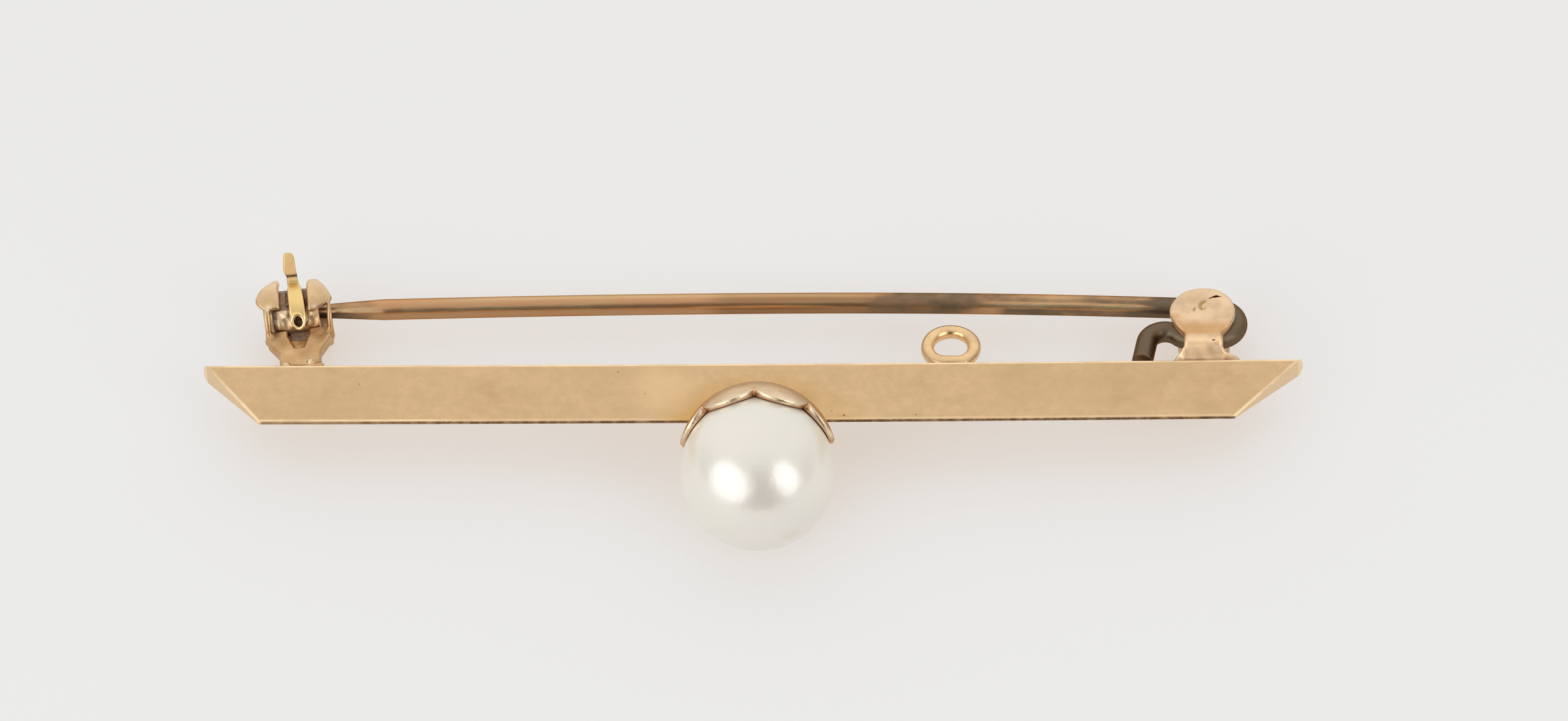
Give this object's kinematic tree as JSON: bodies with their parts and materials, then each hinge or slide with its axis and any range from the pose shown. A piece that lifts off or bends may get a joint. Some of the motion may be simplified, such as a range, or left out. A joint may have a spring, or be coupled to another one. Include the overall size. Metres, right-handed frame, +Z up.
{
  "type": "pearl bar brooch",
  "caption": "Knife-edge bar brooch with a pearl in a scalloped cup, a guard ring, a riveted swinging pin and a catch with a turning lock, lying on its side.",
  "frame": {"origin": "on the surface that the brooch lies on, under the middle of its outline", "axes": "+X along the bar from the catch to the hinge, +Y from the pearl's side to the pin's side, +Z up from the surface"},
  "size_m": [0.05, 0.016, 0.0072],
  "materials": {
    "gold": "satin",
    "pearl": "lustrous",
    "rivet_gold": "satin",
    "pin_gold": "satin",
    "yellow_gold": "satin"
  },
  "bodies": {
    "brooch": {"soldered_bar": "gold", "pearl": "pearl", "hinge_rivet": "rivet_gold"},
    "pin": {"pin": "pin_gold"},
    "lock": {"catch_lock": "yellow_gold"}
  },
  "joints": [
    {"name": "pin_swing", "type": "hinge", "parent": "brooch", "child": "pin", "pos_m": [0.02105, 0.00479, 0.00184], "axis": [0, -0.2013, -0.9795], "range_deg": [0, 100]},
    {"name": "lock_turn", "type": "hinge", "parent": "brooch", "child": "lock", "pos_m": [-0.0208, 0.00575, 0.00165], "axis": [0.9938, 0.0924, 0.0611], "range_deg": [0, 80]}
  ]
}
